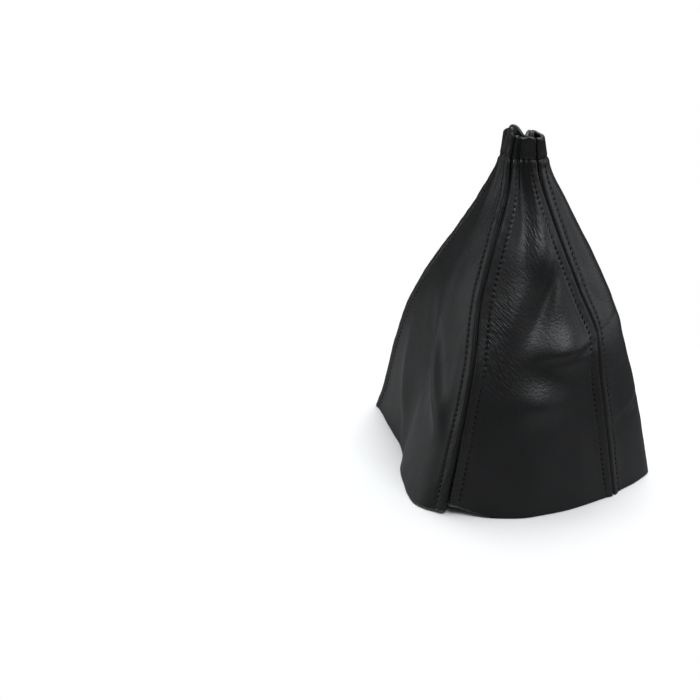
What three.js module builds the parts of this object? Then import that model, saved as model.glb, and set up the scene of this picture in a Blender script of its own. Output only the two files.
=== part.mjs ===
import * as THREE from 'three';

// A leather gear lever gaiter: four panels sewn edge to edge with turned-back
// allowances and a row of topstitching on each side of every seam. The lower edge
// is cut and rests on the floor, the top is turned in and gathered into a cuff.
// Millimetres, +Z up, the front panel faces -Y, origin under the middle of the box.

const HEM_WIDTH = 97;         // front panel, seam to seam on the floor
const HEM_DEPTH = 138;        // side panels, seam to seam on the floor
const HEIGHT = 189;           // floor to the rim of the cuff
const CUFF_WIDTH = 13;        // front seam to front seam at the cuff
const CUFF_DEPTH = 16.5;      // front seam to rear seam at the cuff
const CUFF_RIGHT = 9;         // the cuff stands this far right of the hem's middle
const CUFF_AHEAD = 3.75;      // and this far ahead of it
const CUFF_TURN = 11;         // rim to the row of stitches that holds the turned-in top
const TURN_END = 2;           // the turned-in top ends this far past its stitches
const LEATHER = 1.1;          // thickness
const LAYER_GAP = 0.4;        // air between a turned-back layer and the one over it
const SEAM_GAP = 0.2;         // each panel's folded edge to the middle of the seam
const ALLOWANCE = 9;          // turned-back strip, folded edge to raw edge
const STITCH_INSET = 5;       // folded edge to the topstitching
const RIB_RISE = 0.55;        // the doubled edge stands this proud beside the seam
const THREAD = 0.6;           // thread diameter
const THREAD_GAP = 0.3;       // thread to leather
const STITCH_START = 3;       // first topstitch above the hem
const HEM_LIFT = 5.2;         // the front panel's left corner hovers over the floor

const BODY_ROWS = 23;         // rows of facets from the hem to the cuff's stitches
const FLAP_ROWS = 19;         // the allowances end where the gathering starts
const INNER_COLUMNS = 8;      // columns of facets between the two doubled edges

// Keys are [height share, values...]; the curve through them is a cubic.
function along(keys, at, column = 1) {
  const last = keys.length - 1;
  let n = 0;
  while (n < last - 1 && at > keys[n + 1][0]) n += 1;
  const slope = (i) => {
    const before = keys[Math.max(i - 1, 0)];
    const after = keys[Math.min(i + 1, last)];
    return (after[column] - before[column]) / (after[0] - before[0]);
  };
  const span = keys[n + 1][0] - keys[n][0];
  const u = (at - keys[n][0]) / span;
  const v = 1 - u;
  return keys[n][column] * (1 + 2 * u) * v * v
    + keys[n + 1][column] * (3 - 2 * u) * u * u
    + (slope(n) * v - slope(n + 1) * u) * span * u * v;
}

// The four seams. hem and cuff are corner places in shares of the hem's and the
// cuff's width and depth; keys say how far in the seam has come at each height,
// across and in depth.
const seams = [
  { hem: [-0.464, -0.5], cuff: [-0.41, -0.5], keys: [[0, 0, 0], [0.22, 0.2, 0.14],
    [0.41, 0.38, 0.31], [0.57, 0.515, 0.54], [0.72, 0.717, 0.73], [0.86, 0.924, 0.92],
    [0.94, 0.975, 1], [1, 1, 1]] },
  { hem: [0.536, -0.5], cuff: [0.61, -0.5], keys: [[0, 0, 0], [0.22, 0.14, 0.12],
    [0.36, 0.235, 0.21], [0.435, 0.262, 0.27], [0.485, 0.27, 0.35], [0.6, 0.49, 0.54],
    [0.75, 0.75, 0.77], [0.87, 0.93, 0.94], [0.94, 0.97, 1], [1, 1, 1]] },
  { hem: [0.577, 0.45], cuff: [0.72, 0.5], keys: [[0, 0, 0], [0.22, 0.12, 0.14],
    [0.41, 0.26, 0.31], [0.57, 0.48, 0.52], [0.72, 0.72, 0.74], [0.86, 0.92, 0.92],
    [0.94, 1, 1], [1, 1, 1]] },
  { hem: [-0.51, 0.507], cuff: [-0.24, 0.46], keys: [[0, 0, 0], [0.1, 0.075, 0.07],
    [0.26, 0.145, 0.19], [0.41, 0.25, 0.31], [0.565, 0.44, 0.49], [0.7, 0.68, 0.64],
    [0.8, 0.82, 0.78], [0.9, 0.91, 0.94], [1, 1, 1]] },
];

// The panels, each from seam to seam, seen from above against the clock. swell holds
// how far the sheet stands out from the straight line between its seams, in shares
// of HEM_WIDTH: a place across the panel, then keys by height. rim is how far the rim
// climbs at places across the panel, in shares of CUFF_TURN. creases are
// [across, height, half width, half height, lean, depth].
const panels = [
  { name: 'front_panel', seams: [0, 1], lift: 1, swell: [
    [0.25, [[0, 0.1], [0.3, 0.055], [0.5, 0.03], [0.75, 0.02], [0.93, -0.014],
      [1, -0.014]]],
    [0.45, [[0, 0.135], [0.3, 0.07], [0.5, 0.03], [0.7, 0.015], [0.85, -0.015],
      [0.94, -0.018], [1, -0.018]]],
    [0.75, [[0, 0.09], [0.3, 0.05], [0.5, 0.06], [0.75, 0.04], [0.93, -0.002], [1, -0.002]]]],
  rim: [[0, 0.12], [0.5, 0.02], [1, 0]],
  creases: [[0.57, 0.585, 0.1, 0.055, 3, -0.05], [0.4, 0.62, 0.08, 0.07, 1, 0.015],
    [0.7, 0.69, 0.2, 0.065, 0, 0.02], [0.72, 0.455, 0.26, 0.06, 0, 0.05],
    [0.5, 0.315, 0.2, 0.05, 0, 0.03]] },
  { name: 'right_panel', seams: [1, 2], lift: 0, swell: [
    [0.17, [[0, 0.31], [0.3, 0.26], [0.45, 0.21], [0.6, 0.19], [0.8, 0.12], [0.93, 0.058],
      [1, 0.04]]],
    [0.5, [[0, 0.19], [0.3, 0.21], [0.6, 0.215], [0.8, 0.15], [0.93, 0.083], [1, 0.06]]],
    [0.8, [[0, 0.08], [0.3, 0.1], [0.6, 0.09], [0.8, 0.07], [0.93, 0.045], [1, 0.035]]]],
  rim: [[0, 0], [0.5, 0.02], [1, 0.12]],
  creases: [] },
  { name: 'rear_panel', seams: [2, 3], lift: 0, swell: [
    [0.25, [[0, 0.07], [0.5, 0.05], [0.8, 0], [0.93, -0.03], [1, -0.03]]],
    [0.55, [[0, 0.1], [0.5, 0.06], [0.8, -0.02], [0.93, -0.076], [1, -0.076]]],
    [0.83, [[0, 0.06], [0.5, 0.05], [0.8, 0.03], [0.93, 0], [1, 0]]]],
  rim: [[0, 0.12], [0.25, 0.12], [0.5, 0], [0.7, 0.42], [0.86, 0.35], [1, 0.2]],
  creases: [[0.35, 0.45, 0.12, 0.1, 0.4, -0.03], [0.7, 0.3, 0.12, 0.12, -0.3, -0.025]] },
  { name: 'left_panel', seams: [3, 0], lift: 0, swell: [
    [0.25, [[0, 0.012], [0.2, 0.02], [0.5, 0.04], [0.75, 0.025], [0.93, 0.02], [1, 0.034]]],
    [0.47, [[0, 0.02], [0.2, 0.03], [0.5, 0.06], [0.75, 0.045], [0.93, 0.036], [1, 0.042]]],
    [0.62, [[0, 0.102], [0.2, 0.085], [0.5, 0.07], [0.75, 0.045], [0.93, 0.027],
      [1, 0.02]]],
    [0.87, [[0, 0.142], [0.2, 0.095], [0.5, 0.05], [0.75, 0.03], [0.93, 0.016], [1, 0.016]]],
    [0.95, [[0, 0.09], [0.2, 0.05], [0.5, 0.025], [0.93, 0.007], [1, 0.007]]]],
  rim: [[0, 0.2], [0.5, 0.08], [1, 0.12]],
  creases: [[0.3, 0.2, 0.09, 0.16, -1, 0.02], [0.48, 0.35, 0.12, 0.14, -1, -0.02],
    [0.76, 0.34, 0.05, 0.1, -1.2, 0.014]] },
];

function seamPoint(seam, height) {
  const share = Math.min(Math.max(height, 0), 1);
  const cuff = [CUFF_RIGHT + seam.cuff[0] * CUFF_WIDTH, seam.cuff[1] * CUFF_DEPTH - CUFF_AHEAD];
  const hem = [seam.hem[0] * HEM_WIDTH, seam.hem[1] * HEM_DEPTH];
  return [0, 1].map((axis) => (
    THREE.MathUtils.lerp(hem[axis], cuff[axis], along(seam.keys, share, axis + 1))));
}

// A point of the outer face: s runs from seam to seam, height from hem to rim.
function drape(panel, s, level) {
  const corner = Math.max(0, 1 - s * 4) * Math.max(0, 1 - level * 6);
  const height = level + panel.lift * corner ** 2 * HEM_LIFT / HEIGHT;
  const [ax, ay] = seamPoint(seams[panel.seams[0]], height);
  const [bx, by] = seamPoint(seams[panel.seams[1]], height);
  const width = Math.hypot(bx - ax, by - ay);
  const guides = panel.swell.map(([place, keys]) => [place, along(keys, height)]);
  let out = along([[0, 0], ...guides, [1, 0]], s);
  const window = 1 - (1 - 4 * s * (1 - s)) ** 4;
  for (const [place, middle, across, tall, lean, depth] of panel.creases) {
    const x = (s - place - lean * (height - middle)) / across;
    const z = (height - middle) / tall;
    out += window * depth * Math.exp(-x * x - z * z);
  }
  out *= HEM_WIDTH;
  const climb = THREE.MathUtils.smoothstep(height, 1 - 2 * CUFF_TURN / HEIGHT, 1);
  return new THREE.Vector3(
    THREE.MathUtils.lerp(ax, bx, s) + out * (by - ay) / width,
    THREE.MathUtils.lerp(ay, by, s) - out * (bx - ax) / width,
    height * HEIGHT + along(panel.rim, s) * CUFF_TURN * climb,
  );
}

// Outward direction of the leather. Among the gathers it follows the sheet loosely.
function facing(panel, s, height) {
  const step = THREE.MathUtils.lerp(0.01, 0.08, THREE.MathUtils.smoothstep(height, 0.8, 0.95));
  const at = THREE.MathUtils.clamp(s, 2 * step, 1 - 2 * step);
  const level = THREE.MathUtils.clamp(height, 0.01, 0.99);
  const across = drape(panel, at + step, level).sub(drape(panel, at - step, level));
  const up = drape(panel, at, level + 0.01).sub(drape(panel, at, level - 0.01));
  return across.cross(up).normalize();
}

// At a seam both panels step inwards along the line that halves their corner, so that
// their folded edges never cross.
function mitre(seam, height) {
  const before = panels.find((panel) => panel.seams[1] === seam);
  const after = panels.find((panel) => panel.seams[0] === seam);
  const one = facing(before, 1, height);
  const other = facing(after, 0, height);
  const share = 1 + one.dot(other);
  return one.add(other).divideScalar(share);
}

// A point sunk under the outer face. The hem is cut level, so there it stays level.
function sunk(point, outward, depth, height) {
  if (height === 0) outward.z = 0;
  return point.addScaledVector(outward, -depth);
}

// How far across the panel a distance from one of its folded edges reaches.
function reach(panel, side, distance, height) {
  const [from, to] = side === 0 ? [0.02, 0.04] : [0.98, 0.96];
  const pace = drape(panel, from, height).distanceTo(drape(panel, to, height)) / 0.02;
  const share = (SEAM_GAP + distance) / pace;
  return side === 0 ? share : 1 - share;
}

// One place in the sheet: distance in from the folded edge, depth under the outer face.
function place(panel, side, distance, depth, height) {
  const across = reach(panel, side, distance, height);
  const turn = THREE.MathUtils.smoothstep(distance / ALLOWANCE, 0, 1);
  const outward = mitre(panel.seams[side], height).lerp(facing(panel, across, height), turn);
  return sunk(drape(panel, across, height), outward, depth, height);
}

// Near the gathered cuff the folded edges narrow with the panel.
function squeeze(panel, height) {
  const width = drape(panel, 0, height).distanceTo(drape(panel, 1, height));
  return Math.min(1, width / (5 * STITCH_INSET));
}

const DOUBLE = 2 * LEATHER + LAYER_GAP;

// The folded edge in section, from the stitches to the raw edge of the allowance:
// [distance in, depth] for the outer and the inner face of the leather.
const foldedEdge = [
  { outer: [ALLOWANCE, 0], inner: [ALLOWANCE, LEATHER] },
  { outer: [STITCH_INSET, 0], inner: [STITCH_INSET, LEATHER] },
  { outer: [STITCH_INSET / 2, -RIB_RISE], inner: [STITCH_INSET / 2, LEATHER] },
  { outer: [LEATHER / 2, LEATHER / 6], inner: [LEATHER * 1.4, LEATHER] },
  { outer: [0, DOUBLE / 2], inner: [LEATHER, DOUBLE / 2], flap: true },
  { outer: [LEATHER / 2, DOUBLE - LEATHER / 6], inner: [LEATHER * 1.4, DOUBLE - LEATHER],
    flap: true },
  { outer: [STITCH_INSET / 2, DOUBLE], inner: [STITCH_INSET / 2, DOUBLE - LEATHER], flap: true },
  { outer: [STITCH_INSET, DOUBLE], inner: [STITCH_INSET, DOUBLE - LEATHER], flap: true },
  { outer: [ALLOWANCE, DOUBLE], inner: [ALLOWANCE, DOUBLE - LEATHER], flap: true },
];

const stitchHeight = 1 - CUFF_TURN / HEIGHT;

// The levels of a panel: up the outside to the rim, over it and down the inside.
// depth and face shift the sheet's two faces inwards from the outer surface.
function levels() {
  const list = [];
  for (let n = 0; n <= BODY_ROWS; n += 1) {
    list.push({ height: stitchHeight * n / BODY_ROWS, outer: 0, inner: LEATHER });
  }
  const rim = 1 - LEATHER / HEIGHT;
  for (const share of [0.4, 0.8]) {
    const height = THREE.MathUtils.lerp(stitchHeight, rim, share);
    list.push({ height, outer: 0, inner: LEATHER });
  }
  const under = 1 - 1.4 * LEATHER / HEIGHT;
  list.push({ height: 1 - LEATHER / 3 / HEIGHT, innerHeight: under, outer: LEATHER / 6,
    inner: LEATHER });
  list.push({ height: 1, innerHeight: rim, outer: DOUBLE / 2, inner: DOUBLE / 2 });
  list.push({ height: 1 - LEATHER / 3 / HEIGHT, innerHeight: under, outer: DOUBLE - LEATHER / 6,
    inner: DOUBLE - LEATHER });
  const end = stitchHeight - TURN_END / HEIGHT;
  for (const share of [0.8, 0.4, 0]) {
    const height = THREE.MathUtils.lerp(end, rim, share);
    list.push({ height, outer: DOUBLE, inner: DOUBLE - LEATHER });
  }
  return list;
}

// A sheet of leather as one closed body: two faces over a grid of cells, joined by
// walls along every edge of the cells that exist.
function sheet(columns, rows, point, exists) {
  const positions = [];
  const index = new Map();
  const vertex = (i, j, face) => {
    const key = `${i} ${j} ${face}`;
    if (!index.has(key)) {
      index.set(key, positions.length / 3);
      positions.push(...point(i, j, face).toArray());
    }
    return index.get(key);
  };
  const triangles = [];
  const quad = (a, b, c, d) => triangles.push(a, b, c, a, c, d);
  const cell = (i, j) => i >= 0 && j >= 0 && i < columns && j < rows && exists(i, j);
  for (let i = 0; i < columns; i += 1) {
    for (let j = 0; j < rows; j += 1) {
      if (!cell(i, j)) continue;
      const ring = [[i, j], [i + 1, j], [i + 1, j + 1], [i, j + 1]];
      const [a, b, c, d] = ring.map(([x, y]) => vertex(x, y, 'outer'));
      const [e, f, g, h] = ring.map(([x, y]) => vertex(x, y, 'inner'));
      quad(a, b, c, d);
      quad(e, h, g, f);
      if (!cell(i, j - 1)) quad(a, e, f, b);
      if (!cell(i + 1, j)) quad(b, f, g, c);
      if (!cell(i, j + 1)) quad(c, g, h, d);
      if (!cell(i - 1, j)) quad(d, h, e, a);
    }
  }
  const geometry = new THREE.BufferGeometry();
  geometry.setAttribute('position', new THREE.Float32BufferAttribute(positions, 3));
  geometry.setIndex(triangles);
  geometry.computeVertexNormals();
  return geometry;
}

function panelGeometry(panel) {
  const rows = levels();
  const edge = foldedEdge.length;
  const columns = 2 * edge + INNER_COLUMNS - 1;
  const flaps = foldedEdge.filter((fold) => fold.flap).length;
  const point = (i, j, face) => {
    const row = rows[j];
    const height = face === 'inner' && row.innerHeight ? row.innerHeight : row.height;
    const fit = squeeze(panel, height);
    const fromEdge = i < edge ? edge - 1 - i : i - (columns - edge);
    const side = i < edge ? 0 : 1;
    if (i < edge || i >= columns - edge) {
      let [distance, depth] = foldedEdge[fromEdge][face];
      if (fromEdge < 3) distance *= fit;
      if (j > FLAP_ROWS && fromEdge === 3) distance = 0;
      if (j > FLAP_ROWS) depth = row[face];
      return place(panel, side, distance, depth, height);
    }
    const ends = [0, 1].map((end) => reach(panel, end, ALLOWANCE * fit, height));
    const s = THREE.MathUtils.lerp(ends[0], ends[1], (i - edge + 1) / INNER_COLUMNS);
    return sunk(drape(panel, s, height), facing(panel, s, height), row[face], height);
  };
  const exists = (i, j) => {
    const across = Math.min(i, columns - 2 - i);
    return across >= flaps || j < FLAP_ROWS;
  };
  return sheet(columns - 1, rows.length - 1, point, exists);
}

// Sewing thread laid along a line of points.
function threadGeometry(points) {
  const path = new THREE.CatmullRomCurve3(points);
  const section = new THREE.Shape();
  const radius = THREAD / 2;
  section.moveTo(radius, 0);
  for (const [x, y] of [[0, radius], [-radius, 0], [0, -radius]]) section.lineTo(x, y);
  section.closePath();
  return new THREE.ExtrudeGeometry(section, {
    steps: points.length - 1, bevelEnabled: false, extrudePath: path,
  });
}

const lift = THREAD_GAP + THREAD / 2;

function topstitch(panel, side) {
  const points = [];
  const start = STITCH_START / HEIGHT;
  const end = stitchHeight - STITCH_START / HEIGHT;
  for (let n = 0; n <= BODY_ROWS; n += 1) {
    const height = THREE.MathUtils.lerp(start, end, n / BODY_ROWS);
    const inset = STITCH_INSET * squeeze(panel, height);
    points.push(place(panel, side, inset, -lift, height));
  }
  return threadGeometry(points);
}

function cuffStitch() {
  const points = [];
  for (const panel of panels) {
    const fit = squeeze(panel, stitchHeight);
    const edges = [STITCH_INSET / 2, STITCH_INSET, ALLOWANCE];
    const shares = edges.map((inset) => reach(panel, 0, inset * fit, stitchHeight));
    for (let n = 1; n < INNER_COLUMNS; n += 1) {
      const last = reach(panel, 1, ALLOWANCE * fit, stitchHeight);
      shares.push(THREE.MathUtils.lerp(shares[2], last, n / INNER_COLUMNS));
    }
    for (const inset of edges.reverse()) {
      shares.push(reach(panel, 1, inset * fit, stitchHeight));
    }
    for (const s of shares) {
      const out = facing(panel, s, stitchHeight);
      points.push(drape(panel, s, stitchHeight).addScaledVector(out, lift + THREAD));
    }
  }
  return threadGeometry(points);
}

const gaiter = new THREE.Group();

function add(name, geometry, material) {
  const mesh = new THREE.Mesh(geometry, material);
  mesh.name = name;
  gaiter.add(mesh);
}

const leather = () => new THREE.MeshStandardMaterial({
  color: 0x25272a, roughness: 0.48, metalness: 0 });
const thread = () => new THREE.MeshStandardMaterial({
  color: 0x121213, roughness: 0.7, metalness: 0 });

for (const panel of panels) {
  add(panel.name, panelGeometry(panel), leather());
  const base = panel.name.replace('_panel', '');
  add(`${base}_topstitch_first`, topstitch(panel, 0), thread());
  add(`${base}_topstitch_second`, topstitch(panel, 1), thread());
}
add('cuff_stitch', cuffStitch(), thread());

// The origin goes under the middle of the box.
const box = new THREE.Box3().setFromObject(gaiter);
const middle = box.getCenter(new THREE.Vector3());
for (const mesh of gaiter.children) {
  mesh.geometry.translate(-middle.x, -middle.y, -box.min.z);
}

export default gaiter;
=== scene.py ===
import math

import bmesh
import bpy
import numpy as np
from mathutils import Matrix, Vector


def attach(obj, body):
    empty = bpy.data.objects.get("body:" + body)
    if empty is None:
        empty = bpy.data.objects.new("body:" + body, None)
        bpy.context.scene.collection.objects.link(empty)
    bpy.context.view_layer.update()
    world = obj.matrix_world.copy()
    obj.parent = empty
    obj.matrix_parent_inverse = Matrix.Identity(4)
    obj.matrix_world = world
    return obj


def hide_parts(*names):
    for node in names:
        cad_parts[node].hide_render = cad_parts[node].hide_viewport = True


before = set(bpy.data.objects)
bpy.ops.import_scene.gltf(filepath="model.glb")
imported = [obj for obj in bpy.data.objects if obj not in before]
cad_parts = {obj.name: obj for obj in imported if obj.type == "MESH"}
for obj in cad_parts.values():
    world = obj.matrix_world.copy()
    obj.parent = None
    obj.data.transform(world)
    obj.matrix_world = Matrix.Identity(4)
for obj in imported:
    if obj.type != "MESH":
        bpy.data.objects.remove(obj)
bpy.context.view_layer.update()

# Camera. It stands in front of the gaiter, a little to the left and above, and
# looks past it, so that the gaiter stands right of the middle of the picture.
eye = Vector((-0.2388, -0.6481, 0.3661))
behind = Vector((-0.1979, -0.8928, 0.4045)).normalized()
rightward = Vector((0.9763, -0.2164, 0.0)).normalized()
upward = behind.cross(rightward)
camera_data = bpy.data.cameras.new("camera")
camera_data.lens = 66.79
camera_data.sensor_width = 36.0
camera_data.clip_start = 0.05
camera = bpy.data.objects.new("camera", camera_data)
camera.matrix_world = Matrix((
    (rightward.x, upward.x, behind.x, eye.x),
    (rightward.y, upward.y, behind.y, eye.y),
    (rightward.z, upward.z, behind.z, eye.z),
    (0.0, 0.0, 0.0, 1.0),
))
bpy.context.scene.collection.objects.link(camera)
bpy.context.scene.camera = camera


# Leather. The panels are cut from black full-grain leather, semi-gloss and finely
# pebbled outside, matt and greenish grey on the flesh side, and paler along the raw
# edge. The grain lies flat where it is taut and breaks into wrinkles where bunched.
class Field:
    """A value over a surface. Sums and products of fields add the nodes for them."""

    def __init__(self, tree, socket=None):
        self.tree = tree
        self.socket = socket

    def node(self, kind, settings=None, values=None, output=0):
        """A new node: its type, its settings, and the values or fields it takes in."""
        made = self.tree.nodes.new(kind)
        for name, setting in (settings or {}).items():
            setattr(made, name, setting)
        for name, value in (values or {}).items():
            if isinstance(value, Field):
                self.tree.links.new(value.socket, made.inputs[name])
            else:
                made.inputs[name].default_value = value
        return Field(self.tree, made.outputs[output])

    def maths(self, operation, first, second):
        return self.node("ShaderNodeMath", {"operation": operation}, {0: first, 1: second})

    def __add__(self, other):
        return self.maths("ADD", self, other)

    __radd__ = __add__

    def __sub__(self, other):
        return self.maths("SUBTRACT", self, other)

    def __rsub__(self, other):
        return self.maths("SUBTRACT", other, self)

    def __mul__(self, other):
        return self.maths("MULTIPLY", self, other)

    __rmul__ = __mul__

    def between(self, low, high):
        """0 below low, 1 above high, and smooth from one to the other."""
        return self.node("ShaderNodeMapRange", {"interpolation_type": "SMOOTHSTEP"},
                         {"Value": self, "From Min": low, "From Max": high})

    def mix(self, first, second):
        """The colour first where the field is 0, and second where it is 1."""
        return self.node("ShaderNodeMix", {"data_type": "RGBA"},
                         {"Factor": self, 6: first, 7: second}, output=2)


def new_material(name):
    """A material with its output, its surface shader and a field to start sums from."""
    made = bpy.data.materials.new(name)
    made.use_nodes = True
    tree = made.node_tree
    tree.nodes.clear()
    output = tree.nodes.new("ShaderNodeOutputMaterial")
    shader = tree.nodes.new("ShaderNodeBsdfPrincipled")
    tree.links.new(shader.outputs[0], output.inputs["Surface"])
    return made, shader, Field(tree)


def feed(shader, name, field):
    """Links a field to one of a shader's inputs."""
    field.tree.links.new(field.socket, shader.inputs[name])


def grain_side():
    """The semi-gloss outside, with its pebbles, pores and fine wrinkles."""
    made, shader, start = new_material("leather_grain")
    place = start.node("ShaderNodeUVMap", {"uv_map": "leather"})
    bunched = start.node("ShaderNodeAttribute", {"attribute_name": "bunched"}, output=1)
    masks = [start.node("ShaderNodeSeparateXYZ", {}, {"Vector": bunched}, output=n)
             for n in range(3)]
    stray = start.node("ShaderNodeTexNoise", {}, {"Vector": place, "Scale": 90.0,
                                                  "Detail": 1.0}, output=1)
    bent = start.node("ShaderNodeVectorMath", {"operation": "MULTIPLY_ADD"}, {
        0: stray, 1: (0.003, 0.003, 0.0), 2: place})

    def wrinkles(turn, long, short):
        """Small folds that run along one direction."""
        laid = start.node("ShaderNodeMapping", {"vector_type": "TEXTURE"}, {
            "Vector": bent, "Rotation": (0.0, 0.0, turn), "Scale": (long, short, 1.0)})
        ridges = start.node("ShaderNodeTexVoronoi", {"feature": "SMOOTH_F1"}, {
            "Vector": laid, "Scale": 1.0, "Smoothness": 0.7, "Randomness": 1.0})
        return 1.0 - ridges

    pebbles = start.node("ShaderNodeTexVoronoi", {"feature": "SMOOTH_F1"},
                         {"Vector": place, "Scale": 1050.0, "Smoothness": 0.6})
    pores = start.node("ShaderNodeTexNoise", {}, {"Vector": place, "Scale": 1700.0,
                                                  "Detail": 3.0, "Roughness": 0.6})
    clouds = start.node("ShaderNodeTexNoise", {}, {"Vector": place, "Scale": 28.0,
                                                   "Detail": 3.0})
    height = (wrinkles(-0.85, 0.0036, 0.0012) * masks[0]
              + wrinkles(-1.25, 0.0036, 0.0012) * masks[1]
              + wrinkles(0.2, 0.0015, 0.0011) * masks[2] + pebbles * -0.16 + pores * 0.08)
    dark_black = (0.0034, 0.0036, 0.0042, 1.0)
    pale_black = (0.0060, 0.0062, 0.0071, 1.0)
    raw_fibre = (0.085, 0.083, 0.078, 1.0)
    tone = (clouds * 0.7 + pores * 0.3).between(0.3, 0.7)
    black = tone.mix(dark_black, pale_black)
    frayed = start.node("ShaderNodeAttribute", {"attribute_name": "frayed"}, output=2)
    torn = start.node("ShaderNodeTexNoise", {}, {"Vector": place, "Scale": 700.0})
    feed(shader, "Base Color", (frayed * torn.between(0.3, 0.55)).mix(black, raw_fibre))
    feed(shader, "Roughness", 0.37 + clouds * 0.10 + pores * 0.08)
    shader.inputs["Specular IOR Level"].default_value = 0.5
    feed(shader, "Normal", start.node("ShaderNodeBump", {}, {
        "Strength": 1.0, "Distance": 0.00034, "Height": height}))
    return made


def flesh_side():
    """The matt, napped inside."""
    made, shader, start = new_material("leather_flesh")
    place = start.node("ShaderNodeTexCoord", output=3)
    nap = start.node("ShaderNodeTexNoise", {}, {"Vector": place, "Scale": 1800.0,
                                                "Detail": 4.0, "Roughness": 0.7})
    patches = start.node("ShaderNodeTexNoise", {}, {"Vector": place, "Scale": 60.0,
                                                    "Detail": 2.0})
    dark_grey = (0.010, 0.011, 0.009, 1.0)
    pale_grey = (0.030, 0.032, 0.026, 1.0)
    tone = (nap * 0.5 + patches * 0.5).between(0.3, 0.7)
    feed(shader, "Base Color", tone.mix(dark_grey, pale_grey))
    shader.inputs["Roughness"].default_value = 0.95
    shader.inputs["Specular IOR Level"].default_value = 0.2
    feed(shader, "Normal", start.node("ShaderNodeBump", {}, {
        "Strength": 1.0, "Distance": 0.00025, "Height": nap}))
    return made


def cut_edge():
    """The raw edge, with pale fibres between dark ones."""
    made, shader, start = new_material("leather_edge")
    place = start.node("ShaderNodeTexCoord", output=3)
    fibres = start.node("ShaderNodeTexNoise", {}, {"Vector": place, "Scale": 2600.0,
                                                   "Detail": 4.0, "Roughness": 0.75})
    dark_fibre = (0.030, 0.030, 0.029, 1.0)
    pale_fibre = (0.20, 0.195, 0.18, 1.0)
    feed(shader, "Base Color", fibres.between(0.35, 0.7).mix(dark_fibre, pale_fibre))
    shader.inputs["Roughness"].default_value = 0.9
    feed(shader, "Normal", start.node("ShaderNodeBump", {}, {
        "Strength": 1.0, "Distance": 0.0002, "Height": fibres}))
    return made


leather = [grain_side(), flesh_side(), cut_edge()]


# Panels. Four sheets of leather, cut wide at the hem and narrow at the neck. Their side
# edges are turned back and sewn together, their tops are turned in as the cuff's hem,
# and the gaiter has slumped into soft folds below a gathered neck.
HEM_WIDTH = 0.097
HEM_DEPTH = 0.138
HEIGHT = 0.189
CUFF_WIDTH = 0.013
CUFF_DEPTH = 0.0165
CUFF_RIGHT = 0.009         # the cuff leans this far to the right
CUFF_AHEAD = 0.00375       # and this far to the front
CUFF_TURN = 0.011          # from the rim down to the cuff's row of stitches
TURN_END = 0.002           # the turned-in top ends this far below that row
LEATHER = 0.0011
LAYER_GAP = 0.0002         # between a turned-back layer and the one over it
SEAM_GAP = 0.0009
GAPE = 0.0008              # how much wider the front left seam gapes at the hem
GAPE_BEAT = 0.0003         # and how much that changes from stitch to stitch
ALLOWANCE = 0.009
LIP = 0.0007               # how far in the round of a turned edge reaches
RIB_RISE = 0.0011          # how far the leather stands up beside a seam
STITCH_INSET = 0.005
STITCH_LENGTH = 0.0031
STITCH_HEIGHT = 1 - CUFF_TURN / HEIGHT
LIFT_CURVE = 1.3           # how the raised end of a hem sweeps up
MIDDLE = np.array((0.01192, -0.0028, 0.0))    # of the box, moved to the origin

# Each seam has its places at the hem and at the cuff, in shares of their width and
# depth. Then, by height in shares of HEIGHT, it has how much of the way between them
# it has gone, across and in depth.
SEAMS = (
    ((-0.464, -0.5), (-0.41, -0.5),
     (0, 0.22, 0.41, 0.57, 0.72, 0.86, 0.94, 1),
     (0, 0.2, 0.38, 0.515, 0.717, 0.924, 0.975, 1),
     (0, 0.14, 0.31, 0.54, 0.73, 0.92, 1, 1)),
    ((0.536, -0.5), (0.61, -0.5),
     (0, 0.22, 0.36, 0.435, 0.485, 0.6, 0.75, 0.87, 0.94, 1),
     (0, 0.14, 0.235, 0.262, 0.27, 0.49, 0.75, 0.93, 0.97, 1),
     (0, 0.12, 0.21, 0.27, 0.35, 0.54, 0.77, 0.94, 1, 1)),
    ((0.577, 0.45), (0.72, 0.5),
     (0, 0.22, 0.41, 0.57, 0.72, 0.86, 0.94, 1),
     (0, 0.12, 0.26, 0.48, 0.72, 0.92, 1, 1),
     (0, 0.14, 0.31, 0.52, 0.74, 0.92, 1, 1)),
    ((-0.51, 0.507), (-0.24, 0.46),
     (0, 0.1, 0.26, 0.41, 0.565, 0.7, 0.8, 0.9, 1),
     (0, 0.075, 0.145, 0.25, 0.44, 0.68, 0.82, 0.91, 1),
     (0, 0.07, 0.19, 0.31, 0.49, 0.64, 0.78, 0.94, 1)),
)


def along(places, values, at):
    """A cubic through values at places, for a number or an array."""
    last = len(places) - 1
    slopes = []
    for i in range(last + 1):
        low, high = max(i - 1, 0), min(i + 1, last)
        slopes.append((values[high] - values[low]) / (places[high] - places[low]))
    curve = None
    for n in range(last):
        span = places[n + 1] - places[n]
        u = (at - places[n]) / span
        v = 1 - u
        piece = (values[n] * (1 + 2 * u) * v * v + values[n + 1] * (3 - 2 * u) * u * u
                 + (slopes[n] * v - slopes[n + 1] * u) * span * u * v)
        curve = piece if curve is None else np.where(at > places[n], piece, curve)
    return curve


def seam_point(number, height):
    """Where a seam stands at a height, seen from above."""
    hem, cuff, places, across, deep = SEAMS[number]
    share = np.clip(height, 0, 1)
    x = along(places, across, share)
    y = along(places, deep, share)
    hem_x, hem_y = hem[0] * HEM_WIDTH, hem[1] * HEM_DEPTH
    cuff_x = CUFF_RIGHT + cuff[0] * CUFF_WIDTH
    cuff_y = cuff[1] * CUFF_DEPTH - CUFF_AHEAD
    return hem_x + (cuff_x - hem_x) * x, hem_y + (cuff_y - hem_y) * y


def step(low, high, value):
    """0 below low, 1 above high, and smooth from one to the other."""
    t = np.clip((value - low) / (high - low), 0, 1)
    return t * t * (3 - 2 * t)


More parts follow.
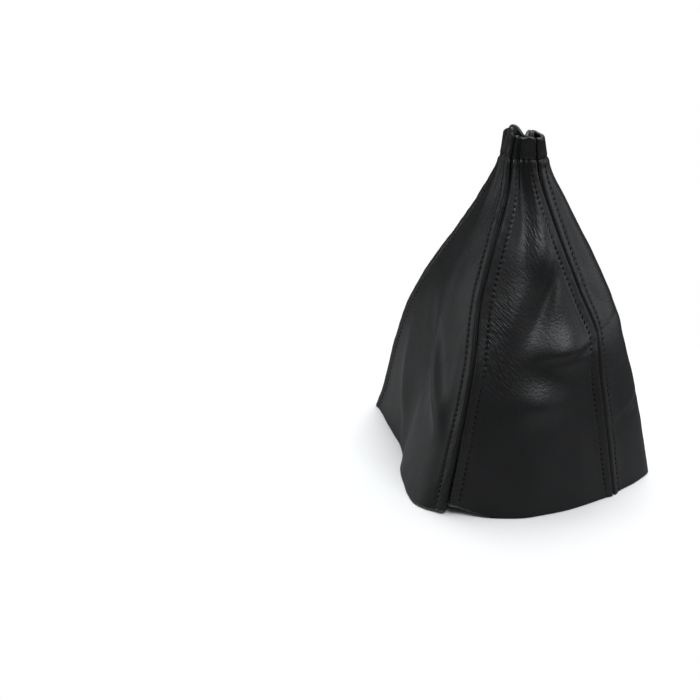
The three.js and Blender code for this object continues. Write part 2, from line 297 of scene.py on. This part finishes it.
def drape(panel, s, level):
    """Points of the outer face: s runs from seam to seam, level from hem to rim."""
    first, last = panel["lift"]
    lift = (first * np.maximum(0, 1 - s * 4) ** LIFT_CURVE
            + last * np.maximum(0, s * 8 - 7) ** LIFT_CURVE)
    height = level + lift * np.maximum(0, 1 - level * 6) / HEIGHT
    first, second = panel["seams"]
    ax, ay = seam_point(first, height)
    bx, by = seam_point(second, height)
    width = np.hypot(bx - ax, by - ay)
    places = [0] + [place for place, _, _ in panel["swell"]] + [1]
    guides = [0 * height] + [along(at, out, height) for _, at, out in panel["swell"]]
    out = along(places, guides + [0 * height], s)
    # The seams hold the leather, so a crease fades where it comes near one.
    window = 1 - (1 - 4 * s * (1 - s)) ** 4
    for place, middle, across, tall, lean, sharp, depth in panel["creases"]:
        x = (s - place - lean * (height - middle)) / across
        z = (height - middle) / tall
        fold = np.exp(-np.sqrt(x * x + 0.01) * 2) if sharp else np.exp(-x * x)
        out = out + window * depth * fold * np.exp(-z * z)
    out = out * HEM_WIDTH
    rise = CUFF_TURN * along(*panel["rim"], s)
    climb = step(1 - 2 * CUFF_TURN / HEIGHT, 1, height)
    return np.stack((
        ax + (bx - ax) * s + out * (by - ay) / width,
        ay + (by - ay) * s - out * (bx - ax) / width,
        height * HEIGHT + rise * climb + 0 * s,
    ), -1)


def facing(panel, s, level):
    """Outward direction of the leather. Among the gathers it follows loosely."""
    reach = 0.01 + 0.05 * step(0.8, 0.95, level)
    at = np.clip(s, 2 * reach, 1 - 2 * reach)
    h = np.clip(level, 0.01, 0.99) + 0 * s
    across = drape(panel, at + reach, h) - drape(panel, at - reach, h)
    up = drape(panel, at, h + 0.01) - drape(panel, at, h - 0.01)
    out = np.cross(across, up)
    return out / np.linalg.norm(out, axis=-1, keepdims=True)


def mitre(number, level):
    """Outward direction at a seam, along the line that halves its panels' corner."""
    before = next(p for p in PANELS if p["seams"][1] == number)
    after = next(p for p in PANELS if p["seams"][0] == number)
    one = facing(before, 1 + 0 * level, level)
    other = facing(after, 0 * level, level)
    return (one + other) / (1 + (one * other).sum(-1, keepdims=True))


# Each panel names its two seams and what it was cut to: width and length with the
# allowances and the turned-in top, and flat area, for it tapers. Lift is how far the
# hem stands up at its two ends. Each swell is a place across the panel, then heights
# and how far the leather stands out there, in shares of HEM_WIDTH. Rim is places and
# how far the rim stands up there, in shares of CUFF_TURN. Each crease is place,
# height, half width, half height, lean, whether it is sharp, and depth.
PANELS = (
    {"name": "front_panel", "seams": (0, 1), "cut": (0.118, 0.221, 0.0154),
     "lift": (0.0056, 0), "swell": (
        (0.25, (0, 0.3, 0.5, 0.75, 0.93, 1), (0.1, 0.055, 0.03, 0.02, -0.014, -0.014)),
        (0.45, (0, 0.3, 0.5, 0.7, 0.85, 0.94, 1),
         (0.135, 0.07, 0.03, 0.015, -0.015, -0.018, -0.018)),
        (0.75, (0, 0.3, 0.5, 0.75, 0.93, 1), (0.09, 0.05, 0.06, 0.04, -0.002, -0.002))),
     "rim": ((0, 0.2, 0.45, 0.7, 1), (0.12, 0.16, 0, 0.09, 0)), "creases": (
        (0.62, 0.70, 0.24, 0.060, 1.0, 0, 0.032),
        (0.36, 0.57, 0.14, 0.10, 1.4, 0, 0.036),
        (0.68, 0.60, 0.07, 0.08, 2.0, 0, -0.026),
        (0.69, 0.455, 0.24, 0.050, 0, 0, 0.050),
        (0.52, 0.312, 0.18, 0.050, 0, 0, 0.046),
        (0.82, 0.442, 0.14, 0.030, 9.0, 0, -0.009),
        (0.40, 0.96, 0.12, 0.08, 0, 0, -0.012),
        (0.76, 0.95, 0.12, 0.07, 0, 0, 0.007))},
    {"name": "right_panel", "seams": (1, 2), "cut": (0.169, 0.219, 0.0216),
     "lift": (0, 0), "swell": (
        (0.17, (0, 0.3, 0.45, 0.6, 0.8, 0.93, 1),
         (0.31, 0.26, 0.21, 0.19, 0.12, 0.058, 0.04)),
        (0.5, (0, 0.3, 0.6, 0.8, 0.93, 1), (0.19, 0.21, 0.215, 0.15, 0.083, 0.06)),
        (0.8, (0, 0.3, 0.6, 0.8, 0.93, 1), (0.08, 0.1, 0.09, 0.07, 0.045, 0.035))),
     "rim": ((0, 0.5, 1), (0, 0.02, 0.12)), "creases": (
        (0.08, 0.487, 0.06, 0.04, 4.0, 1, -0.009),
        (0.10, 0.225, 0.05, 0.05, 2.4, 1, -0.02))},
    {"name": "rear_panel", "seams": (2, 3), "cut": (0.126, 0.232, 0.0168),
     "lift": (0, 0), "swell": (
        (0.25, (0, 0.5, 0.8, 0.93, 1), (0.07, 0.05, 0, -0.03, -0.03)),
        (0.55, (0, 0.5, 0.8, 0.93, 1), (0.1, 0.06, -0.02, -0.076, -0.076)),
        (0.83, (0, 0.5, 0.8, 0.93, 1), (0.06, 0.05, 0.03, 0, 0))),
     "rim": ((0, 0.25, 0.5, 0.7, 0.86, 1), (0.12, 0.12, 0, 0.42, 0.30, -0.24)), "creases": (
        (0.35, 0.45, 0.12, 0.1, 0.4, 0, -0.03),
        (0.7, 0.3, 0.12, 0.12, -0.3, 0, -0.025))},
    {"name": "left_panel", "seams": (3, 0), "cut": (0.164, 0.229, 0.0199),
     "lift": (0, 0.0012), "swell": (
        (0.25, (0, 0.2, 0.5, 0.75, 0.93, 1), (0.012, 0.02, 0.04, 0.025, 0.02, 0.034)),
        (0.47, (0, 0.2, 0.5, 0.75, 0.93, 1), (0.02, 0.03, 0.06, 0.045, 0.036, 0.042)),
        (0.62, (0, 0.2, 0.5, 0.75, 0.93, 1), (0.102, 0.085, 0.07, 0.045, 0.027, 0.02)),
        (0.87, (0, 0.2, 0.5, 0.75, 0.93, 1), (0.142, 0.095, 0.05, 0.03, 0.016, 0.016)),
        (0.95, (0, 0.2, 0.5, 0.93, 1), (0.09, 0.05, 0.025, 0.007, 0.007))),
     "rim": ((0, 0.35, 0.7, 0.88, 1), (-0.24, 0.2, 0.55, 0.42, 0.12)), "creases": (
        (0.35, 0.18, 0.075, 0.14, -0.7, 0, 0.036),
        (0.36, 0.16, 0.03, 0.13, -0.7, 1, 0.008),
        (0.50, 0.36, 0.12, 0.15, -1.0, 0, -0.034),
        (0.76, 0.33, 0.06, 0.12, -1.2, 0, 0.040))},
)

DOUBLE = 2 * LEATHER + LAYER_GAP
under = LEATHER / 2        # from the outer face to the middle of the leather
# The turned edge in section, from the raw edge of the allowance to the flat of the
# panel: how far in from the seam, how deep the middle of the leather lies, and how
# much of RIB_RISE it stands up.
TURNED = [(d, DOUBLE - under, 0) for d in (0.0090, 0.0070, 0.0050, 0.0032, 0.0018)]
for turn in range(7):
    angle = math.pi * (0.5 - turn / 6 * 0.93)
    bulge = abs(math.cos(angle)) ** 0.6
    rise = math.copysign(abs(math.sin(angle)) ** 0.6, math.sin(angle))
    TURNED.append((LIP * (1 - bulge), DOUBLE / 2 + (DOUBLE / 2 - under) * rise, 0))
for d, rise in ((0.0007, 0.55), (0.0010, 0.92), (0.0014, 1.0), (0.0019, 0.92),
                (0.0025, 0.78), (0.0031, 0.64), (0.0036, 0.52), (0.0040, 0.40),
                (0.0043, 0.26), (0.0046, 0.08), (0.0050, -0.10), (0.0054, 0.0),
                (0.0058, 0.12), (0.0063, 0.18), (0.0070, 0.15), (0.0079, 0.06),
                (0.0090, 0.0)):
    TURNED.append((d, under, rise))
FLAP_COLUMNS = 7           # of the grid, from the raw edge to where the lip turns
INNER = 64                 # columns between the two turned edges
ROWS = 300                 # from the hem to the cuff's stitches
CUFF_ROWS = 21             # from there to the rim
ROLL_ROWS = 8              # over the rim
TURN_ROWS = 11             # and down inside
TRIM_ROW = 0.8 * ROWS      # the allowances are trimmed away above it


def levels():
    """Heights and extra depth of the rows, up the outside and down inside the cuff."""
    heights = list(np.linspace(0, STITCH_HEIGHT, ROWS + 1))
    depths = [0.0] * len(heights)
    rim = 1 - under / HEIGHT
    for t in np.linspace(0, 1, CUFF_ROWS + 1)[1:]:
        heights.append(STITCH_HEIGHT + (rim - STITCH_HEIGHT) * t)
        depths.append(0.0)
    turn = DOUBLE - LEATHER
    for t in np.linspace(0, 1, ROLL_ROWS + 1)[1:]:
        heights.append(rim + math.sin(t * math.pi) * (turn / 2) / HEIGHT)
        depths.append(turn / 2 * (1 - math.cos(t * math.pi)))
    end = STITCH_HEIGHT - TURN_END / HEIGHT
    for t in np.linspace(0, 1, TURN_ROWS + 1)[1:]:
        heights.append(rim + (end - rim) * t)
        depths.append(turn)
    return np.array(heights), np.array(depths)


def seam_gap(number, height):
    """Width of a groove. The front left one gapes at the hem, between its stitches."""
    gaping = (number == 0) * (1 - step(0.05, 0.27, height))
    beat = np.cos(height * HEIGHT * 2 * math.pi / STITCH_LENGTH)
    return SEAM_GAP * (1 + step(0.86, 0.93, height)) + gaping * (GAPE + GAPE_BEAT * beat)


def panel_surface(panel):
    """The outer face over a grid, its outward direction, the depth of the leather's
    middle below it, and each spot's place, height, inset and lengths."""
    heights, extra = levels()
    edge = len(TURNED)
    count = 2 * edge + INNER
    h = np.broadcast_to(heights, (count, len(heights)))
    ends = [drape(panel, s, heights) for s in (0 * heights, 1 + 0 * heights)]
    width = np.linalg.norm(ends[1] - ends[0], axis=-1)
    # In the narrow neck the turned edges are squeezed to fit.
    fit = np.minimum(1, width / (5 * STITCH_INSET))
    s = np.zeros(h.shape)
    depth = np.zeros(h.shape)
    inset = np.zeros(h.shape)
    for side in (0, 1):
        a, b = (0.02, 0.04) if side == 0 else (0.98, 0.96)
        pace = np.linalg.norm(drape(panel, b + 0 * heights, heights)
                              - drape(panel, a + 0 * heights, heights), axis=-1) / 0.02
        gap = seam_gap(panel["seams"][side], heights)
        flat = 1 - 0.65 * step(0.86, 0.96, heights)
        for n, (distance, deep, rise) in enumerate(TURNED):
            c = n if side == 0 else count - 1 - n
            run = min(distance, LIP) + max(distance - LIP, 0) * fit
            share = (gap / 2 + run) / pace
            s[c] = share if side == 0 else 1 - share
            depth[c] = deep - rise * RIB_RISE * flat
            inset[c] = distance
    for n in range(INNER):
        t = (n + 1) / (INNER + 1)
        s[edge + n] = s[edge - 1] + (s[count - edge] - s[edge - 1]) * t
        depth[edge + n] = under
        inset[edge + n] = ALLOWANCE
    out = facing(panel, s, h)
    turn = step(0, ALLOWANCE, inset)[..., None]
    half = count // 2
    for side, rows in ((0, slice(0, half)), (1, slice(half, count))):
        corner = mitre(panel["seams"][side], heights)[None]
        out[rows] = corner + (out[rows] - corner) * turn[rows]
    out[:, 0, 2] = 0
    base = drape(panel, s, h)
    depth = depth + extra[None]
    # Lengths along the leather, from the hem up and from the middle sideways.
    up = np.linalg.norm(np.diff(base, axis=1), axis=-1)
    v = np.concatenate((np.zeros((count, 1)), np.cumsum(up, axis=1)), axis=1)
    side = np.linalg.norm(np.diff(base, axis=0), axis=-1)
    u = np.concatenate((np.zeros((1, len(heights))), np.cumsum(side, axis=0)), axis=0)
    u = u - u[half][None]
    return base, out, depth, s, h, inset, u, v


def smooth_noise(seed, u, v, size):
    """Soft random lumps, about size long, over lengths u and v."""
    rng = np.random.default_rng(seed)
    waves = 12
    total = np.zeros(np.broadcast(u, v).shape)
    for _ in range(waves):
        angle = rng.uniform(0, 2 * math.pi)
        wave = 2 * math.pi / size * rng.uniform(0.6, 1.5)
        total += np.sin((u * math.cos(angle) + v * math.sin(angle)) * wave
                        + rng.uniform(0, 6.28))
    return total / waves ** 0.5


def relief(panel, s, h, inset, u, v, extra):
    """How far the leather stands out beyond the drape: puckers and small creases."""
    number = panel["seams"][0] * 7 + 3
    shape = 0.00010 * smooth_noise(number, u, v, 0.02)
    # Stitches pull the leather down at their holes and let it puff between them.
    row = np.exp(-((inset - STITCH_INSET) / 0.0008) ** 2) * (inset < ALLOWANCE)
    row = row * (h < STITCH_HEIGHT) * (extra == 0) * (1 - 0.6 * step(0.84, 0.95, h))
    shape = shape + row * 0.00030 * np.cos(v * 2 * math.pi / STITCH_LENGTH)
    rib = np.exp(-((inset - 0.0026) / 0.0013) ** 2) * (inset < ALLOWANCE)
    shape = shape + rib * 0.00014 * smooth_noise(number + 1, u, v, 0.009) * (extra == 0)
    # The row of stitches round the foot of the cuff, and the puffed leather below it.
    z = (h - STITCH_HEIGHT) * HEIGHT
    foot = np.exp(-(z / 0.0009) ** 2)
    puff = np.exp(-((z + 0.0022) / 0.0016) ** 2)
    beat = np.cos(u * 2 * math.pi / STITCH_LENGTH)
    shape = shape - foot * (0.0005 + 0.0001 * beat) * (extra < LEATHER / 2)
    shape = shape + puff * 0.00030 * (0.6 - 0.4 * beat) * (extra == 0)
    # Small uneven gathers below and on the cuff.
    gather = step(0.72, 0.93, h) * (extra == 0) * (inset > 0.008)
    shape = shape + gather * 0.0002 * smooth_noise(number + 2, u, v * 0.12, 0.006)
    return shape


def wrinkling(panel, s, h):
    """How strongly the leather is wrinkled, in each of three directions."""
    # Each spot is direction, place, height, half width, half height and strength.
    spots = {
        "front_panel": (
            (0, 0.12, 0.45, 0.17, 0.11, 0.85), (0, 0.26, 0.39, 0.14, 0.06, 0.55),
            (0, 0.28, 0.62, 0.18, 0.12, 0.35), (1, 0.70, 0.72, 0.22, 0.09, 0.60),
            (1, 0.45, 0.78, 0.25, 0.08, 0.30), (2, 0.66, 0.50, 0.22, 0.06, 0.30),
            (2, 0.55, 0.36, 0.18, 0.06, 0.35), (2, 0.40, 0.60, 0.20, 0.12, 0.25)),
        "right_panel": ((2, 0.15, 0.60, 0.3, 0.15, 0.25), (1, 0.10, 0.30, 0.2, 0.1, 0.15)),
        "rear_panel": ((2, 0.5, 0.55, 0.4, 0.2, 0.3),),
        "left_panel": ((2, 0.5, 0.75, 0.4, 0.15, 0.12),),
    }
    masks = np.zeros(s.shape + (3,))
    masks[..., 2] = 0.05
    for way, place, middle, across, tall, strength in spots[panel["name"]]:
        masks[..., way] += strength * np.exp(-((s - place) / across) ** 2
                                             - ((h - middle) / tall) ** 2)
    return masks


def finished(bm, name, materials):
    """A smooth piece at the origin, from a bmesh."""
    mesh = bpy.data.meshes.new(name)
    bm.to_mesh(mesh)
    bm.free()
    mesh.polygons.foreach_set("use_smooth", [True] * len(mesh.polygons))
    for material in materials:
        mesh.materials.append(material)
    piece = bpy.data.objects.new(name, mesh)
    bpy.context.scene.collection.objects.link(piece)
    return piece


surfaces = {}
for panel in PANELS:
    base, out, depth, s, h, inset, u, v = panel_surface(panel)
    extra = levels()[1][None] + 0 * s
    lifted = relief(panel, s, h, inset, u, v, extra)
    # The turned-back flap inside lies flat.
    lifted[:FLAP_COLUMNS] = 0
    lifted[-FLAP_COLUMNS:] = 0
    spots = base - out * (depth - lifted)[..., None] - MIDDLE
    surfaces[panel["name"]] = (spots, out)

    columns, rows = s.shape
    bm = bmesh.new()
    bmesh.ops.create_grid(bm, x_segments=columns - 1, y_segments=rows - 1, size=0.5)
    # The allowances are trimmed away where the gathering starts.
    trimmed = []
    for face in bm.faces:
        spot = face.calc_center_median()
        column = (spot.x + 0.5) * (columns - 1)
        if (min(column, columns - 1 - column) < FLAP_COLUMNS + 1
                and (spot.y + 0.5) * (rows - 1) > TRIM_ROW):
            trimmed.append(face)
    bmesh.ops.delete(bm, geom=trimmed, context="FACES")
    sheet = finished(bm, panel["name"] + "_leather", leather)
    mesh = sheet.data
    flat = np.empty(len(mesh.vertices) * 3)
    mesh.vertices.foreach_get("co", flat)
    flat = flat.reshape(-1, 3)
    i = np.rint((flat[:, 0] + 0.5) * (columns - 1)).astype(int)
    j = np.rint((flat[:, 1] + 0.5) * (rows - 1)).astype(int)
    mesh.vertices.foreach_set("co", spots[i, j].ravel())
    corners = np.empty(len(mesh.loops), int)
    mesh.loops.foreach_get("vertex_index", corners)
    uv = mesh.uv_layers.new(name="leather")
    uv.data.foreach_set("uv", np.stack((u[i, j], v[i, j]), -1)[corners].ravel())
    bunched = mesh.attributes.new("bunched", "FLOAT_VECTOR", "POINT")
    bunched.data.foreach_set("vector", wrinkling(panel, s, h)[i, j].ravel())
    frayed = mesh.attributes.new("frayed", "FLOAT", "POINT")
    loose = np.maximum(*(lift > 0 and step(0.75, 0.95, end) for lift, end in
                         zip(panel["lift"], (1 - s, s))))
    frayed.data.foreach_set("value", (loose * step(0.0011, 0.0002, v))[i, j])
    mesh.update()
    skin = sheet.modifiers.new("skin", "SOLIDIFY")
    skin.thickness = LEATHER
    skin.offset = 0
    skin.material_offset = 1
    skin.material_offset_rim = 2
    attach(sheet, "root")
    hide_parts(panel["name"])


# Topstitching. A bonded black thread runs 5 mm from each seam, down both sides of it,
# in stitches 3 mm long that sink into the leather at their holes. One more row holds
# the turned-in top of the cuff.
THREAD = 0.0006
STITCH_CHORD = 0.001       # each way from a stitch's middle, to find how it runs
STITCH_SHOWN = 0.32        # half of what shows of a stitch, in stitch lengths
STITCH_LIFT = 0.12         # how far its middle stands off the leather, in threads


def twisted_thread():
    """Dull black, with its strands a little paler."""
    made, shader, start = new_material("thread_black")
    place = start.node("ShaderNodeTexCoord", output=3)
    strands = start.node("ShaderNodeTexNoise", {}, {"Vector": place, "Scale": 3500.0,
                                                    "Detail": 2.0})
    dark_strand = (0.0014, 0.0014, 0.0015, 1.0)
    pale_strand = (0.005, 0.005, 0.0055, 1.0)
    feed(shader, "Base Color", strands.between(0.3, 0.7).mix(dark_strand, pale_strand))
    feed(shader, "Roughness", 0.7 + strands * 0.25)
    shader.inputs["Specular IOR Level"].default_value = 0.15
    feed(shader, "Normal", start.node("ShaderNodeBump", {}, {
        "Strength": 1.0, "Distance": 0.0001, "Height": strands}))
    return made


thread = twisted_thread()


def thread_bar(bm, place):
    """A short round bar of thread: a ball of radius 1, stretched and put in place."""
    bmesh.ops.create_uvsphere(bm, u_segments=6, v_segments=6, radius=1.0, matrix=place)


def stitch_row(name, path, outward):
    """Single stitches along a path of points that lies on the leather."""
    steps = np.linalg.norm(np.diff(path, axis=0), axis=1)
    lengths = np.concatenate(((0,), np.cumsum(steps)))
    bm = bmesh.new()
    count = int(lengths[-1] / STITCH_LENGTH) - 1
    for n in range(count):
        middle = (n + 1) * STITCH_LENGTH + STITCH_LENGTH / 2
        ends = [np.array([np.interp(middle + side, lengths, path[:, k]) for k in range(3)])
                for side in (-STITCH_CHORD, STITCH_CHORD)]
        out = np.array([np.interp(middle, lengths, outward[:, k]) for k in range(3)])
        run = Vector(ends[1] - ends[0]).normalized()
        up = Vector(out).normalized()
        side = up.cross(run).normalized()
        up = run.cross(side)
        centre = Vector((ends[0] + ends[1]) / 2) + up * (LEATHER / 2 + THREAD * STITCH_LIFT)
        place = Matrix((
            (run.x, side.x, up.x, centre.x),
            (run.y, side.y, up.y, centre.y),
            (run.z, side.z, up.z, centre.z),
            (0.0, 0.0, 0.0, 1.0),
        ))
        shape = Matrix.Diagonal((STITCH_LENGTH * STITCH_SHOWN, THREAD / 2, THREAD / 2, 1.0))
        turn = Matrix.Rotation(math.pi / 2, 4, "Y")
        thread_bar(bm, place @ shape @ turn)
    row = finished(bm, name + "_stitches", [thread])
    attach(row, "root")
    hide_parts(name)


stitch_column = min(range(FLAP_COLUMNS, len(TURNED)),
                    key=lambda n: abs(TURNED[n][0] - STITCH_INSET))
sewn_rows = slice(2, ROWS - 4)             # the rows stop short of the hem and the cuff
folded_columns = FLAP_COLUMNS + 5          # the flap and the round of the turned edge
cuff_path, cuff_outward = [], []
for panel in PANELS:
    spots, outward = surfaces[panel["name"]]
    base = panel["name"].replace("_panel", "")
    for word, column in (("first", stitch_column), ("second", -1 - stitch_column)):
        stitch_row(f"{base}_topstitch_{word}", spots[column, sewn_rows],
                   outward[column, sewn_rows])
    shown = slice(folded_columns, spots.shape[0] - folded_columns)
    cuff_path.append(spots[shown, ROWS])
    cuff_outward.append(outward[shown, ROWS])
stitch_row("cuff_stitch", np.concatenate(cuff_path), np.concatenate(cuff_outward))


# Closing seam. The same thread holds the panels together, down in each groove. Only
# where the front left groove gapes, near the hem, do its stitches show, as short bars
# from edge to edge.
BAR_REACH = 0.0014         # half of a bar's length
BAR_DEPTH = 0.0014
FIRST_BAR = 0.007          # its height above the hem
BARS = 14

level = (FIRST_BAR + np.arange(BARS) * STITCH_LENGTH) / HEIGHT
outward = mitre(0, level)
middles = (drape(PANELS[3], 1 + 0 * level, level) + drape(PANELS[0], 0 * level, level)) / 2
middles = middles - outward * BAR_DEPTH - MIDDLE
shape = Matrix.Diagonal((BAR_REACH, THREAD / 2, THREAD / 2, 1.0))
bm = bmesh.new()
for middle, way in zip(middles, outward):
    turn = Vector((way[0], way[1], 0)).to_track_quat("Y", "Z").to_matrix().to_4x4()
    thread_bar(bm, Matrix.Translation(Vector(middle)) @ turn @ shape)
closing = finished(bm, "closing_seam", [thread])
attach(closing, "root")


# Floor and light. The gaiter stands on a wide white table in a white studio. A broad
# soft light hangs above it, and weaker ones stand to the right, left and behind.
FLOOR_REACH = 6.0          # from its middle to each side
FLOOR_DROP = 0.0002        # it lies just below the hem
FLOOR_WHITE = (0.86, 0.86, 0.86, 1.0)
SHEEN_NEAR = (0.34, 0.34, 0.34, 1.0)
SHEEN_FAR = (0.02, 0.02, 0.02, 1.0)
SHEEN_MIDDLE = (-0.25, -0.15, 0.0)
PURE_WHITE = (1.0, 1.0, 1.0, 1.0)
LIGHT_COLOUR = (0.96, 0.98, 1.0)


def white_table():
    """White, with a soft shadow round the gaiter, and darker in the leather's sheen."""
    made, shader, start = new_material("white_floor")
    shader.inputs["Base Color"].default_value = FLOOR_WHITE
    shader.inputs["Roughness"].default_value = 0.7
    shader.inputs["Specular IOR Level"].default_value = 0.1
    place = start.node("ShaderNodeTexCoord", output=3)

    def distance_from(spot):
        return start.node("ShaderNodeVectorMath", {"operation": "DISTANCE"},
                          {0: place, 1: spot}, output=1)

    def mixed(share, first, second):
        return start.node("ShaderNodeMixShader", {}, {0: share, 1: first, 2: second})

    straight = start.node("ShaderNodeLightPath", output=0)
    mirrored = start.node("ShaderNodeLightPath", output=3)
    bare = start.node("ShaderNodeEmission", {}, {"Color": PURE_WHITE})
    sheen = mixed(distance_from(SHEEN_MIDDLE).between(0.2, 0.75),
                  start.node("ShaderNodeBsdfDiffuse", {}, {"Color": SHEEN_NEAR}),
                  start.node("ShaderNodeBsdfDiffuse", {}, {"Color": SHEEN_FAR}))
    table = mixed(mirrored, Field(start.tree, shader.outputs[0]), sheen)
    away = distance_from((0.0, 0.0, 0.0)).between(0.08, 0.22)
    feed(start.tree.nodes["Material Output"], "Surface", mixed(straight * away, table, bare))
    return made


bm = bmesh.new()
bmesh.ops.create_grid(bm, x_segments=2, y_segments=2, size=FLOOR_REACH,
                      matrix=Matrix.Translation((0.0, 0.0, -FLOOR_DROP)))
floor = finished(bm, "floor", [white_table()])

world = bpy.data.worlds.new("studio")
bpy.context.scene.world = world
world.use_nodes = True
world.node_tree.nodes.clear()
sky = Field(world.node_tree)
straight = sky.node("ShaderNodeLightPath", output=0)
mirrored = sky.node("ShaderNodeLightPath", output=3)
strength = 0.14 + straight * 1.06 - mirrored * 0.08
backdrop = sky.node("ShaderNodeBackground", {}, {"Color": PURE_WHITE, "Strength": strength})
feed(world.node_tree.nodes.new("ShaderNodeOutputWorld"), "Surface", backdrop)


def soft_light(name, place, aim, size, glow):
    """A flat soft light of a given brightness, turned towards aim."""
    data = bpy.data.lights.new(name, "AREA")
    data.shape = "RECTANGLE"
    data.size, data.size_y = size
    data.energy = glow * math.pi * size[0] * size[1]
    data.color = LIGHT_COLOUR
    lamp = bpy.data.objects.new(name, data)
    lamp.location = place
    lamp.rotation_euler = (Vector(aim) - Vector(place)).to_track_quat("-Z", "Y").to_euler()
    bpy.context.scene.collection.objects.link(lamp)


soft_light("top", (0.15, -0.55, 1.35), (0.0, 0.0, 0.1), (1.0, 0.8), 5.4)
soft_light("rear", (0.25, 0.9, 1.6), (0.0, 0.0, 0.0), (2.0, 1.4), 3.9)
soft_light("front right", (1.1, -1.0, 0.6), (0.0, 0.0, 0.1), (0.9, 0.9), 0.5)
soft_light("right", (1.4, -0.1, 0.50), (0.0, 0.0, 0.1), (0.9, 0.6), 1.7)
soft_light("left", (-1.4, 0.6, 0.30), (0.0, 0.0, 0.08), (1.3, 0.5), 1.6)

bpy.context.scene.view_settings.view_transform = "Standard"
